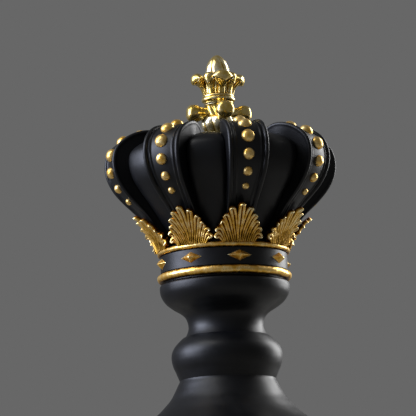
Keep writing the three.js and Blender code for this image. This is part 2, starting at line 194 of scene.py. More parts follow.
def melted(made, voxel, rounds):
    """Fuses overlapping shapes into one skin and softens its creases, as a casting's are."""
    fuse = made.modifiers.new("fuse", "REMESH")
    fuse.mode = "VOXEL"
    fuse.voxel_size = voxel
    fuse.use_smooth_shade = True
    soften = made.modifiers.new("soften", "SMOOTH")
    soften.factor = 0.5
    soften.iterations = rounds
    shaped = made.evaluated_get(bpy.context.evaluated_depsgraph_get())
    mesh = bpy.data.meshes.new_from_object(shaped)
    made.modifiers.clear()
    made.data = mesh
    return made


def uneven(points, size, amount, seed=0):
    """Moves points out from the axis by soft noise: size and amount in metres."""
    shifted = np.array(points, float)
    for point in shifted:
        reach = math.hypot(point[0], point[1])
        if reach > 1e-6:
            push = noise.noise(Vector(point) / size + Vector((seed, seed, seed))) * amount
            point[:2] *= 1 + push / reach
    return shifted


def finished(made, nodes, material):
    made.data.materials.clear()
    made.data.materials.append(material)
    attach(made, "root")
    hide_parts(*nodes)


# ---- colours and materials ------------------------------------------------

def colour(code):
    """An sRGB hex colour as linear red, green, blue and alpha."""
    parts = [int(code[i:i + 2], 16) / 255 for i in (1, 3, 5)]
    linear = [p / 12.92 if p <= 0.04045 else ((p + 0.055) / 1.055) ** 2.4 for p in parts]
    return (*linear, 1.0)


def add_node(tree, kind, settings=None, links=None):
    """Adds a node, sets its sockets or properties by name or number, and links sockets to it. Each
    link comes from a socket, or from the first output of a node."""
    made = tree.nodes.new(kind)
    for key, value in (settings or {}).items():
        if isinstance(key, int) or key in made.inputs:
            made.inputs[key].default_value = value
        else:
            setattr(made, key, value)
    for key, source in (links or {}).items():
        output = source if isinstance(source, bpy.types.NodeSocket) else source.outputs[0]
        tree.links.new(output, made.inputs[key])
    return made


# A mix node's colour sockets share their names with its other sockets, so they go by number.
FACTOR, COLOUR_A, COLOUR_B, MIXED = 0, 6, 7, 2


def new_material(name):
    material = bpy.data.materials.new(name)
    material.use_nodes = True
    tree = material.node_tree
    tree.nodes.clear()
    place = add_node(tree, "ShaderNodeTexCoord").outputs["Object"]
    return material, tree, place


def black_resin():
    """Cold-cast resin sprayed satin black: soft wide highlights, a faint mottle and a few dust specks."""
    material, tree, place = new_material("sprayed_satin_black_resin")
    cloud = add_node(tree, "ShaderNodeTexNoise", {"Scale": 1 / (9 * MM), "Detail": 3}, {"Vector": place})
    mottle = add_node(tree, "ShaderNodeMapRange", {"From Min": 0.3, "From Max": 0.7}, {"Value": cloud})
    cells = add_node(tree, "ShaderNodeTexVoronoi", {"Scale": 1 / (5 * MM)}, {"Vector": place})
    specks = add_node(tree, "ShaderNodeMapRange",
                      {"From Min": 0.025, "From Max": 0.045, "To Min": 1, "To Max": 0}, {"Value": cells})
    paint = add_node(tree, "ShaderNodeMix",
                     {"data_type": "RGBA", COLOUR_A: colour("#060709"), COLOUR_B: colour("#0A0B0E")},
                     {FACTOR: mottle})
    dusty = add_node(tree, "ShaderNodeMix", {"data_type": "RGBA", COLOUR_B: colour("#2C2C2F")},
                     {FACTOR: specks, COLOUR_A: paint.outputs[MIXED]})
    grain = add_node(tree, "ShaderNodeTexNoise", {"Scale": 1 / (0.35 * MM), "Detail": 3}, {"Vector": place})
    ripple = add_node(tree, "ShaderNodeTexNoise", {"Scale": 1 / (4.5 * MM), "Detail": 1}, {"Vector": place})
    fine = add_node(tree, "ShaderNodeBump", {"Strength": 0.35, "Distance": 0.02 * MM}, {"Height": grain})
    relief = add_node(tree, "ShaderNodeBump", {"Strength": 0.5, "Distance": 0.06 * MM},
                      {"Height": ripple, "Normal": fine})
    haze = add_node(tree, "ShaderNodeTexNoise", {"Scale": 1 / (6 * MM), "Detail": 3}, {"Vector": place})
    gloss = add_node(tree, "ShaderNodeMapRange",
                     {"From Min": 0.3, "From Max": 0.7, "To Min": 0.36, "To Max": 0.46}, {"Value": haze})
    shader = add_node(tree, "ShaderNodeBsdfPrincipled", {"IOR": 1.4},
                      {"Base Color": dusty.outputs[MIXED], "Roughness": gloss, "Normal": relief})
    add_node(tree, "ShaderNodeOutputMaterial", links={"Surface": shader})
    return material


def gilding(name, hollow_shade, warm, ridge_highlight, roughness, shade_reach, shine):
    """Gold paint over resin, with painted shade (dark brown) in its hollows and a painted highlight
    (pale metal) on its ridges, both read from each vertex's stored level, and small brush ripples.
    Its flakes scatter widely and the rubbed film over them shines: one argument says how far the painted
    shade reaches and shine how much of the film there is."""
    material, tree, place = new_material(name)
    relief = add_node(tree, "ShaderNodeAttribute", {"attribute_name": "relief"}).outputs["Fac"]
    patch = add_node(tree, "ShaderNodeTexNoise", {"Scale": 1 / (2 * MM), "Detail": 2}, {"Vector": place})
    worn = add_node(tree, "ShaderNodeMath", {"operation": "MULTIPLY_ADD", 1: 0.6, 2: -0.3}, {0: patch})
    height = add_node(tree, "ShaderNodeMath", {"operation": "ADD"}, {0: relief, 1: worn})
    # Painted shade: the dark brown colour is mixed in where the stored level is low, in the hollows.
    painted_shade = add_node(tree, "ShaderNodeMapRange",
                         {"From Min": shade_reach, "From Max": shade_reach + 0.35, "To Min": 1, "To Max": 0},
                         {"Value": height})
    # Painted highlight: the pale colour is mixed in where the stored level is high, on the ridges.
    painted_highlight = add_node(tree, "ShaderNodeMapRange", {"From Min": 0.5, "From Max": 0.9}, {"Value": height})
    metal = add_node(tree, "ShaderNodeMix",
                     {"data_type": "RGBA", COLOUR_A: colour(warm), COLOUR_B: colour(ridge_highlight)},
                     {FACTOR: painted_highlight})
    gold = add_node(tree, "ShaderNodeMix", {"data_type": "RGBA", COLOUR_B: colour(hollow_shade)},
                    {FACTOR: painted_shade, COLOUR_A: metal.outputs[MIXED]}).outputs[MIXED]
    brush = add_node(tree, "ShaderNodeTexNoise", {"Scale": 1 / (0.9 * MM), "Detail": 2}, {"Vector": place})
    drag = add_node(tree, "ShaderNodeTexNoise", {"Scale": 1 / (2.6 * MM), "Detail": 1}, {"Vector": place})
    fine = add_node(tree, "ShaderNodeBump", {"Strength": 0.5, "Distance": 0.06 * MM}, {"Height": brush})
    wave = add_node(tree, "ShaderNodeBump", {"Strength": 0.5, "Distance": 0.2 * MM},
                    {"Height": drag, "Normal": fine})
    gloss = add_node(tree, "ShaderNodeMapRange",
                     {"From Min": 0.3, "From Max": 0.7,
                      "To Min": roughness - 0.05, "To Max": roughness + 0.12}, {"Value": patch})
    flakes = add_node(tree, "ShaderNodeBsdfPrincipled", {"Metallic": 1.0, "Roughness": 0.62},
                      {"Base Color": gold, "Normal": wave})
    rubbed = add_node(tree, "ShaderNodeBsdfPrincipled", {"Metallic": 1.0},
                      {"Base Color": gold, "Roughness": gloss, "Normal": wave})
    shader = add_node(tree, "ShaderNodeMixShader", {FACTOR: shine}, {1: flakes, 2: rubbed})
    add_node(tree, "ShaderNodeOutputMaterial", links={"Surface": shader})
    return material


def zinc_plated_steel():
    """Rolled and plated steel: grey, slightly cloudy."""
    material, tree, place = new_material("zinc_plated_steel")
    cloud = add_node(tree, "ShaderNodeTexNoise", {"Scale": 1 / (3 * MM), "Detail": 3}, {"Vector": place})
    metal = add_node(tree, "ShaderNodeMix",
                     {"data_type": "RGBA", COLOUR_A: colour("#9EA2A6"), COLOUR_B: colour("#C4C7CA")},
                     {FACTOR: cloud})
    gloss = add_node(tree, "ShaderNodeMapRange",
                     {"From Min": 0.3, "From Max": 0.7, "To Min": 0.32, "To Max": 0.45}, {"Value": cloud})
    shader = add_node(tree, "ShaderNodeBsdfPrincipled", {"Metallic": 1.0},
                      {"Base Color": metal.outputs[MIXED], "Roughness": gloss})
    add_node(tree, "ShaderNodeOutputMaterial", links={"Surface": shader})
    return material


def sand_cast_iron():
    """Sand-cast iron: dark grey with a grit of about half a millimetre."""
    material, tree, place = new_material("sand_cast_iron")
    grit = add_node(tree, "ShaderNodeTexNoise", {"Scale": 1 / (0.5 * MM), "Detail": 4}, {"Vector": place})
    metal = add_node(tree, "ShaderNodeMix",
                     {"data_type": "RGBA", COLOUR_A: colour("#2C2D2F"), COLOUR_B: colour("#48494B")},
                     {FACTOR: grit})
    relief = add_node(tree, "ShaderNodeBump", {"Strength": 0.8, "Distance": 0.2 * MM}, {"Height": grit})
    shader = add_node(tree, "ShaderNodeBsdfPrincipled", {"Metallic": 0.7, "Roughness": 0.7},
                      {"Base Color": metal.outputs[MIXED], "Normal": relief})
    add_node(tree, "ShaderNodeOutputMaterial", links={"Surface": shader})
    return material


def powder_coated_steel():
    """Powder coat: black with a fine orange-peel of about one millimetre."""
    material, tree, place = new_material("powder_coated_steel")
    peel = add_node(tree, "ShaderNodeTexNoise", {"Scale": 1 / MM, "Detail": 2}, {"Vector": place})
    paint = add_node(tree, "ShaderNodeMix",
                     {"data_type": "RGBA", COLOUR_A: colour("#161618"), COLOUR_B: colour("#1F1F22")},
                     {FACTOR: peel})
    relief = add_node(tree, "ShaderNodeBump", {"Strength": 0.6, "Distance": 0.08 * MM}, {"Height": peel})
    shader = add_node(tree, "ShaderNodeBsdfPrincipled", {"Roughness": 0.5},
                      {"Base Color": paint.outputs[MIXED], "Normal": relief})
    add_node(tree, "ShaderNodeOutputMaterial", links={"Surface": shader})
    return material


def pressed_wool_felt():
    """Pressed wool felt: matted fibres about 0.4 mm apart, dark green, with a soft nap."""
    material, tree, place = new_material("pressed_wool_felt")
    fibres = add_node(tree, "ShaderNodeTexNoise",
                      {"Scale": 1 / (0.4 * MM), "Detail": 5, "Roughness": 0.7}, {"Vector": place})
    clumps = add_node(tree, "ShaderNodeTexNoise", {"Scale": 1 / (3 * MM), "Detail": 2}, {"Vector": place})
    clumped = add_node(tree, "ShaderNodeMapRange",
                       {"From Min": 0.4, "From Max": 0.7, "To Max": 0.5}, {"Value": clumps})
    strands = add_node(tree, "ShaderNodeMix",
                       {"data_type": "RGBA", COLOUR_A: colour("#141F18"), COLOUR_B: colour("#2E4236")},
                       {FACTOR: fibres})
    wool = add_node(tree, "ShaderNodeMix", {"data_type": "RGBA", COLOUR_B: colour("#1B2A20")},
                    {FACTOR: clumped, COLOUR_A: strands.outputs[MIXED]})
    relief = add_node(tree, "ShaderNodeBump", {"Strength": 0.9, "Distance": 0.25 * MM}, {"Height": fibres})
    shader = add_node(tree, "ShaderNodeBsdfPrincipled", {"Roughness": 0.95, "Sheen Weight": 0.4},
                      {"Base Color": wool.outputs[MIXED], "Normal": relief})
    add_node(tree, "ShaderNodeOutputMaterial", links={"Surface": shader})
    return material


# ---- camera, lights and floor ---------------------------------------------

BEARING = math.radians(-14.4)  # the camera stands this far round from the middle of arch 1


def round_axis(bearing, distance, height):
    """A point at a bearing from the camera's side: 0 is towards the camera, plus is its right."""
    angle = BEARING + math.radians(bearing)
    return Vector((distance * math.sin(angle), -distance * math.cos(angle), height))


def add_camera():
    distance, height, lens = 1.2, 0.0408, 271.2
    heading, pitch, roll = (math.radians(angle) for angle in (0.26, 9.62, -1.93))
    data = bpy.data.cameras.new("camera")
    data.sensor_width = 36
    data.lens = lens
    data.clip_end = 20
    camera = bpy.data.objects.new("camera", data)
    bpy.context.scene.collection.objects.link(camera)
    look = Matrix.Rotation(BEARING + heading, 4, "Z") @ Matrix.Rotation(math.pi / 2 + pitch, 4, "X")
    place = Matrix.Translation(round_axis(0, distance, height))
    camera.matrix_world = place @ look @ Matrix.Rotation(roll, 4, "Z")
    bpy.context.scene.camera = camera


def add_softbox(name, target, bearing, distance, rise, size, power, tint, skips=None):
    """A soft rectangular light that faces its target. It leaves out the object it skips."""
    place = round_axis(bearing, distance, target.z + rise)
    data = bpy.data.lights.new(name, "AREA")
    data.shape = "RECTANGLE"
    data.size, data.size_y = size
    data.energy = power
    data.color = colour(tint)[:3]
    data.spread = math.radians(100)
    light = bpy.data.objects.new(name, data)
    light.location = place
    light.rotation_mode = "QUATERNION"
    light.rotation_quaternion = (target - place).to_track_quat("-Z", "Y")
    bpy.context.scene.collection.objects.link(light)
    if skips:
        unlit = bpy.data.collections.new(name + "_skips")
        unlit.objects.link(skips)
        light.light_linking.receiver_collection = unlit
        unlit.collection_objects[0].light_linking.link_state = "EXCLUDE"


def add_floor():
    """A wide paper disc with a pinhole at its middle, just under the felt."""
    hole, reach, underside, top = 0.001, 1.4, -0.004, -0.0002
    outline = [(hole, underside), (reach, underside), (reach, top), (hole, top)]
    floor = mesh_object("floor", *turned(outline, 64))
    material, tree, _ = new_material("matt_paper_floor")
    paper = add_node(tree, "ShaderNodeBsdfPrincipled", {"Base Color": colour("#BEBCB8"), "Roughness": 0.9})
    add_node(tree, "ShaderNodeOutputMaterial", links={"Surface": paper})
    floor.data.materials.append(material)
    return floor


def add_studio():
    scene = bpy.context.scene
    scene.view_settings.view_transform = "Standard"
    world = bpy.data.worlds.new("studio")
    world.use_nodes = True
    world.node_tree.nodes["Background"].inputs["Color"].default_value = colour("#676767")
    scene.world = world
    crown = Vector((0, 0, (low("crown_cap").z + high("crown_cap").z) / 2))
    floor = add_floor()
    add_softbox("left_softbox", crown, bearing=-80, distance=0.95, rise=0.3, size=(0.8, 0.8),
                power=6.3, tint="#E2E9FF", skips=floor)
    add_softbox("right_softbox", crown, bearing=128, distance=0.95, rise=0.3, size=(0.5, 0.8),
                power=3.4, tint="#FFFFFF")
    add_softbox("top_softbox", crown, bearing=-66, distance=0.6, rise=0.85, size=(0.6, 0.5),
                power=0.8, tint="#FFFFFF")


# ---- turned castings ------------------------------------------------------

# Each outline is a list of smooth runs of (radius, height) fractions. Runs meet at crisp corners.
PLINTH = [[(0.981, 0.0), (0.994, 0.032), (1.0, 0.097)], [(1.0, 0.097), (1.0, 0.543)],
          [(1.0, 0.543), (0.994, 0.634), (0.978, 0.71), (0.954, 0.763), (0.933, 0.78)],
          [(0.933, 0.78), (0.9, 0.78)], [(0.9, 0.78), (0.9, 1.0)]]
CUSHION = [[(0.975, 0.0), (0.989, 0.046), (1.0, 0.123), (0.997, 0.204), (0.979, 0.292), (0.943, 0.368),
            (0.891, 0.428), (0.841, 0.46), (0.822, 0.472)],
           [(0.822, 0.472), (0.802, 0.496), (0.756, 0.567), (0.722, 0.657), (0.702, 0.76), (0.7, 0.839),
            (0.692, 0.864)], [(0.692, 0.864), (0.65, 0.864)], [(0.65, 0.864), (0.65, 1.0)]]
STEM = [[(0.994, 0.0), (1.0, 0.011), (0.988, 0.022)],
        [(0.988, 0.022), (0.922, 0.048), (0.856, 0.091), (0.76, 0.175), (0.671, 0.299), (0.599, 0.476),
         (0.551, 0.677), (0.542, 0.83), (0.557, 0.924), (0.605, 1.0)]]
COLLAR = [[(0.652, 0.001), (0.698, 0.022), (0.719, 0.062), (0.714, 0.104), (0.7, 0.13)],
          [(0.7, 0.13), (0.71, 0.155), (0.77, 0.22), (0.848, 0.279), (0.93, 0.322)],
          [(0.93, 0.322), (0.948, 0.328), (0.986, 0.355), (0.999, 0.402), (0.98, 0.443), (0.932, 0.475),
           (0.835, 0.543), (0.727, 0.639), (0.663, 0.71), (0.601, 0.786), (0.555, 0.871), (0.52, 0.947),
           (0.502, 0.985), (0.498, 1.0)]]
KNOP = [[(0.862, 0.0), (0.879, 0.054), (0.921, 0.186), (0.967, 0.318), (0.995, 0.462), (0.995, 0.607),
         (0.958, 0.733), (0.888, 0.847), (0.786, 0.967), (0.74, 1.0)]]
CAPITAL = [[(0.629, 0.0), (0.606, 0.052), (0.582, 0.136), (0.578, 0.196), (0.59, 0.285), (0.625, 0.38),
            (0.693, 0.459), (0.809, 0.548), (0.908, 0.643), (0.976, 0.762), (1.0, 0.866), (0.996, 0.97),
            (0.964, 1.0)]]
CIRCLET = [[(0.951, 0.0), (0.951, 0.273)], [(0.951, 0.273), (1.0, 0.28)], [(1.0, 0.28), (1.0, 0.742)],
           [(1.0, 0.742), (0.951, 0.748)], [(0.951, 0.748), (0.951, 1.0)]]


def add_casting(node, runs, bottom, material):
    top, bore = high(node).z, radius_of("tie_rod")
    outline = []
    for run in runs:
        outline += list(smooth_curve(run, 2 if len(run) == 2 else 6 * len(run)))
    outline = np.array(outline) * (radius_of(node), top - bottom) + (0, bottom)
    outline = np.concatenate([[(bore, outline[0][1])], outline, [(bore, outline[-1][1])]])
    points, faces = turned(outline)
    made = mesh_object(node + "_casting", uneven(points, 14 * MM, 0.08 * MM), faces, 35)
    finished(made, [node], material)


def add_castings(material):
    """Between the plinth and the circlet, a casting shows from the top of the one under it."""
    add_casting("base_plinth", PLINTH, low("base_plinth").z, material)
    below = "base_plinth"
    stacked = {"base_cushion": CUSHION, "stem": STEM, "collar": COLLAR, "knop": KNOP, "capital": CAPITAL}
    for node, runs in stacked.items():
        add_casting(node, runs, high(below).z, material)
        below = node
    add_casting("circlet", CIRCLET, low("circlet").z, material)


# ---- gilded rings and diamonds --------------------------------------------

def set_painted_shading(made, values):
    """Stores a painted shading level for each vertex, from 0 for painted shade in a hollow to 1 for a
    painted highlight on a ridge.
    """
    store = made.data.attributes.new("relief", "FLOAT", "POINT")
    store.data.foreach_set("value", np.asarray(values, np.float32))


def painted_shading_from_curvature(made, gain):
    """Finds hollows and ridges by how far each vertex stands above the mean of its neighbours, and stores
    them as painted shade and painted highlight levels.
    """
    mesh = made.data
    points = np.empty(len(mesh.vertices) * 3)
    normals = np.empty(len(mesh.vertices) * 3)
    mesh.vertices.foreach_get("co", points)
    mesh.vertices.foreach_get("normal", normals)
    points, normals = points.reshape(-1, 3), normals.reshape(-1, 3)
    edges = np.empty(len(mesh.edges) * 2, int)
    mesh.edges.foreach_get("vertices", edges)
    edges = edges.reshape(-1, 2)
    standing = points
    rounds = 6
    for _ in range(rounds):
        total = np.zeros_like(points)
        count = np.zeros(len(points))
        for a, b in ((0, 1), (1, 0)):
            np.add.at(total, edges[:, a], standing[edges[:, b]])
            np.add.at(count, edges[:, a], 1)
        standing = total / count[:, None]
    rise = np.einsum("ij,ij->i", points - standing, normals) / MM
    set_painted_shading(made, np.clip(0.5 + rise * gain, 0, 1))


RINGS = ["lower_base_ring", "upper_base_ring", "lower_circlet_ring", "upper_circlet_ring"]


def add_ring(node, material, seed):
    """A half-round bead with a painted highlight along its middle and painted shade towards its top and
    bottom edges.
    """
    lowest, highest, outer = low(node).z, high(node).z, radius_of(node)
    half = (highest - lowest) / 2
    inner = outer - 1.9 * half
    angles = np.linspace(-math.pi / 2, math.pi / 2, 15)
    bead = np.stack([outer - half + half * np.cos(angles), lowest + half + half * np.sin(angles)], axis=1)
    outline = np.concatenate([[(inner, lowest)], bead, [(inner, highest)]])
    points, faces = turned(outline, 240)
    points = uneven(points, 5 * MM, 0.16 * MM, seed)
    for point in points:
        point[2] += noise.noise(Vector(point) / (7 * MM)) * 0.12 * MM
    made = mesh_object(node + "_gilt", points, faces, 60)
    around = np.array([vertex.co.z for vertex in made.data.vertices])
    # Painted highlight along the bead's middle, painted shade towards its top and bottom edges.
    set_painted_shading(made, 0.62 - 0.4 * (np.abs(around - lowest - half) / half) ** 3)
    finished(made, [node], material)


def add_diamond(number, material):
    """A low four-sided pyramid with a rounded point, standing on its corner."""
    node = f"diamond_{number}"
    across, upright = high("diamond_1").x, (high(node).z - low(node).z) / 2
    middle = (high(node).z + low(node).z) / 2
    back, front = radius_of("circlet") - 0.3 * MM, -low("diamond_1").y
    steps = 12
    count = 2 * steps + 1
    grid = np.zeros((count, count, 3))
    for row in range(count):
        for column in range(count):
            a, b = row / steps - 1, column / steps - 1
            x, z = (a - b) / 2, (a + b) / 2
            height = 1 - max(abs(a), abs(b))
            rise = (front - back) * min(1, (height * 1.12) ** 0.9 if height > 0 else 0)
            wander = noise.noise(Vector((a * 2, b * 2, number * 3.1))) * 0.12 * MM
            grid[row, column] = (x * across, -(back + rise + wander * (height > 0)), middle + z * upright)
    behind = grid.copy()
    behind[..., 1] = -(back - 0.4 * MM)
    shape = turned_about_axis(plate(grid, behind), (number - 1) * ARCH_TURN)
    made = mesh_object(f"diamond_boss_{number}", *shape, 25)
    painted_shading_from_curvature(made, 1.2)
    finished(made, [node], material)


# ---- crown ----------------------------------------------------------------

# The middle of an arch's outer face, as fractions of the arch's own box.
ARCH_FACE = [(0.534, 0.002), (0.622, 0.148), (0.730, 0.285), (0.834, 0.397), (0.924, 0.513), (0.976, 0.639),
             (0.982, 0.748), (0.953, 0.837), (0.883, 0.910), (0.771, 0.965), (0.635, 0.981), (0.509, 0.935),
             (0.392, 0.858), (0.270, 0.794)]
FACE_STEPS = 400


def face_curve():
    outer, foot, top = -low("arch_1").y, low("arch_1").z, high("arch_1").z
    curve = smooth_curve(ARCH_FACE, FACE_STEPS + 1) * (outer, top - foot) + (0, foot)
    along = np.gradient(curve, axis=0)
    along /= np.linalg.norm(along, axis=1)[:, None]
    outwards = np.stack([along[:, 1], -along[:, 0]], axis=1)
    return curve, outwards


FACE, OUTWARDS = face_curve()
FACE_LENGTH = np.linalg.norm(np.diff(FACE, axis=0), axis=1).sum()


def station(fraction, depth=0.0):
    """(radius, height) at a fraction along the arch's face, depth metres out from it."""
    index = np.clip(fraction, 0, 1) * FACE_STEPS
    steps = np.arange(FACE_STEPS + 1)
    place = np.array([np.interp(index, steps, FACE[:, axis]) for axis in (0, 1)])
    out = np.array([np.interp(index, steps, OUTWARDS[:, axis]) for axis in (0, 1)])
    return place + out * depth, out


def arch_half_width(fraction):
    grown = mix(5.1, 8, ease(fraction, 0.02, 0.5))
    return mix(grown, 3.1, ease(fraction, 0.68, 1)) * MM


def arch_depth(fraction):
    return mix(mix(2.4, 8, ease(fraction, 0.08, 0.5)), 4, ease(fraction, 0.75, 1)) * MM


def lobe_sink(fraction):
    return mix(mix(1.2, 3.6, ease(fraction, 0, 0.5)), 4.6, ease(fraction, 0.7, 1)) * MM


def arch_section(fraction):
    """Closed section of an arch as (sideways, outwards): flat face, fine inner line, groove and
    a round bead at each edge, then plain sides."""
    half, depth = arch_half_width(fraction), arch_depth(fraction)
    swell = mix(0.3, 1, ease(fraction, 0.1, 0.35))
    u = np.linspace(0, 1, 34)
    bead_width = 0.95 * MM / half
    bead = np.sqrt(np.clip(1 - ((u - (1 - bead_width)) / bead_width) ** 2, 0, 1)) * 0.95
    line = 0.38 * bump(u, 1 - 3.1 * bead_width, 0.42 * bead_width)
    crown = 0.3 * np.clip(1 - (u / (1 - 3.6 * bead_width)) ** 2, 0, 1)
    out = (np.maximum(bead, line) + crown) * swell * MM
    right = np.stack([u * half, out], axis=1)
    side = np.array([(half * 0.985, -0.25 * MM), (half * 0.955, -1.1 * MM), (half * 0.95, -depth)])
    right = np.concatenate([right, side])
    left = right[::-1] * (-1, 1)
    return np.concatenate([left[:-1], right])


def add_arch(number, material):
    rows = 110
    rings = []
    for fraction in np.linspace(0, 1, rows):
        section = arch_section(fraction)
        place, out = station(fraction)
        ring = np.zeros((len(section), 3))
        ring[:, 0] = section[:, 0]
        ring[:, 1] = -(place[0] + section[:, 1] * out[0])
        ring[:, 2] = place[1] + section[:, 1] * out[1]
        rings.append(ring)
    shape = turned_about_axis(swept(rings), (number - 1) * ARCH_TURN)
    points = uneven(shape[0], 9 * MM, 0.16 * MM)
    made = mesh_object(f"arch_rib_{number}", points, shape[1], 50)
    finished(made, [f"arch_{number}"], material)


LOBE_COLUMNS, VALLEY_COLUMNS, CAP_ROWS = 37, 5, 100


def cap_run(lobe, column, inside):
    """One upright run of the cap's skin: over a lobe or a valley, then down through its inside."""
    across = math.sin((column / (LOBE_COLUMNS - 1) - 0.5) * math.pi)
    in_valley = column >= LOBE_COLUMNS
    puff = 0 if in_valley else math.sqrt(max(0, 1 - abs(across) ** 4.2))
    run = []
    for fraction in np.linspace(0, 1, CAP_ROWS):
        valley = arch_depth(fraction)
        crest = min(valley, lobe_sink(fraction))
        edge = valley if in_valley else min(valley, crest + 1.7 * MM)
        (radius, height), _ = station(fraction, -mix(edge, crest, puff))
        side = math.asin(arch_half_width(fraction) * 0.97 / radius)
        reach = ARCH_TURN / 2 - side
        if in_valley:
            angle = reach + (column - LOBE_COLUMNS + 0.5) / VALLEY_COLUMNS * 2 * side
        else:
            angle = across * reach
        angle += (lobe + 0.5) * ARCH_TURN
        run.append((radius * math.sin(angle), -radius * math.cos(angle), height))
    last = math.atan2(run[-1][0], -run[-1][1])
    run += [(radius * math.sin(last), -radius * math.cos(last), height) for radius, height in inside]
    foot = inside[-1][1]
    return [(run[0][0], run[0][1], foot)] + run


def add_cap(material):
    """Eight puffed lobes between the arches, as one shell."""
    foot, inner, centre = low("crown_cap").z, radius_of("tie_rod"), low("finial_stem").z
    inside = [(inner, centre), (inner, centre - 3 * MM), (0.72 * abs(FACE[0][0]), foot)]
    columns = LOBE_COLUMNS + VALLEY_COLUMNS
    runs = np.array([cap_run(lobe, column, inside) for lobe in range(ARCHES) for column in range(columns)])
    faces = grid_faces(len(runs), runs.shape[1], True, True)
    points = uneven(runs.reshape(-1, 3), 16 * MM, 0.35 * MM, 4)
    made = mesh_object("crown_cap_lobes", points, faces, 60)
    finished(made, ["crown_cap"], material)


# Domed studs: diameters in millimetres from the lowest to the highest, and their places on the face.
STUDS = [2.8, 3.7, 4.4, 5.2, 5.2, 5.0]
FIRST_STUD = 21.6 * MM
STUD_PITCH = 6.4 * MM
PITCH_GROWTH = 0.26 * MM


def stud_shape(diameter, seed):
    radius = diameter / 2 * MM
    rise = radius * 0.8
    rings, sides = 12, 40
    outline = [(radius * 0.98, -0.5 * MM), (radius * 1.02, 0.0)]
    for step in range(1, rings + 1):
        angle = step / rings * math.pi / 2
        outline.append((max(radius * math.cos(angle), 1e-6), rise * math.sin(angle)))
    outline.append((1e-6, -0.5 * MM))
    points, faces = turned(outline, sides)
    for point in points:
        spot = Vector(point) / (1.6 * MM) + Vector((seed * 7.3, seed * 1.9, 0))
        point *= 1 + noise.noise(spot) * 0.035
    return points, faces


def add_stud_row(number, material):
    shapes = []
    for index, diameter in enumerate(STUDS):
        distance = FIRST_STUD + STUD_PITCH * index + PITCH_GROWTH * index * (index - 1) / 2
        place, out = station(distance / FACE_LENGTH, 0.25 * MM)
        facing = Vector((0, -out[0], out[1])).to_track_quat("Z", "X").to_matrix().to_4x4()
        matrix = Matrix.Translation((0, -place[0], place[1])) @ facing
        shapes.append(moved(stud_shape(diameter, number * 10 + index), matrix))
    shape = turned_about_axis(joined(shapes), (number - 1) * ARCH_TURN)
    made = mesh_object(f"domed_studs_{number}", *shape, 60)
    set_painted_shading(made, [0.62] * len(made.data.vertices))
    finished(made, [f"stud_row_{number}"], material)


# An acanthus leaf: leaflets rise from its foot and arch out to their tips. Each tip is given across
# and up the leaf, as fractions of its half width and its length. The lowest ones curl over.
LEAF_TIPS = [(-0.91, 0.04), (-0.88, 0.23), (-0.79, 0.44), (-0.65, 0.66), (-0.4, 0.87),
             (0.91, 0.04), (0.88, 0.23), (0.79, 0.44), (0.65, 0.66), (0.4, 0.87), (0.02, 1.02)]
LEAF_SPINE = [(0.750, 0.011), (0.785, 0.284), (0.864, 0.586), (0.937, 0.845), (0.990, 0.975)]
LEAF_TURNS = [-1.2, 0.6, -0.8, 1.1, 0.4, -1.0, 0.9, 2.2]  # degrees that each was set out of line


def leaf_spine():
    outer, foot, top = -low("leaf_1").y, low("leaf_1").z, high("leaf_1").z
    return smooth_curve(LEAF_SPINE, 60) * (outer, top - foot) + (0, foot)


def on_spine(spine, distance):
    """(radius, height) at a distance up the leaf, and the way its front looks there."""
    lengths = np.concatenate([[0], np.cumsum(np.linalg.norm(np.diff(spine, axis=0), axis=1))])
    along = np.gradient(spine, axis=0)
    along /= np.linalg.norm(along, axis=1)[:, None]
    beyond = min(0.0, distance) + max(0.0, distance - lengths[-1])
    place = np.array([np.interp(distance, lengths, spine[:, axis]) for axis in (0, 1)])
    direction = np.array([np.interp(distance, lengths, along[:, axis]) for axis in (0, 1)])
    return place + direction * beyond, np.array([direction[1], -direction[0]])


def leaflet_section(t, tip, seed):
    """A leaflet's section at a fraction along it: rounded across, creased along its middle, with a
    thick lip near its end. Gives (sideways, rise in mm) and a painted shading level for each point."""
    across, side = np.linspace(-1, 1, 19), abs(tip[0])
    fold = (1 - across ** 4) * (1 - 0.75 * bump(across, 0, 0.16))
    uneven_height = 1 + 0.3 * noise.noise(Vector((t * 5, tip[0] * 9, seed * 2.7)))
    fold *= mix(0.7, 1, ease(t, 0, 0.5)) * uneven_height
    lip = bump(t, 0.93, 0.09) * np.sqrt(np.clip(1 - across ** 2, 0, 1))
    rounded_edge = 0.5 * np.clip((np.abs(across) - 0.8) / 0.2, 0, 1) ** 2
    top = 0.8 * np.maximum(fold, 1.35 * lip) - rounded_edge
    lift = mix(0.5, 0.0, side) + 0.9 * t ** 4 + 0.45 * (1 - side) * ease(t, 0, 0.5)
    hem, underside = (1.0 if t > 0.7 else 1.2), lift - 0.75
    section = [(x, rise + lift) for x, rise in zip(across, top)] + [(hem, underside), (-hem, underside)]
    # Painted highlight on the leaflet's fold and lip, painted shade on the hem underneath.
    painted_shading_levels = [min(1, level) for level in 0.06 + 0.6 * fold + 0.4 * lip] + [0.1, 0.1]
    return section, painted_shading_levels


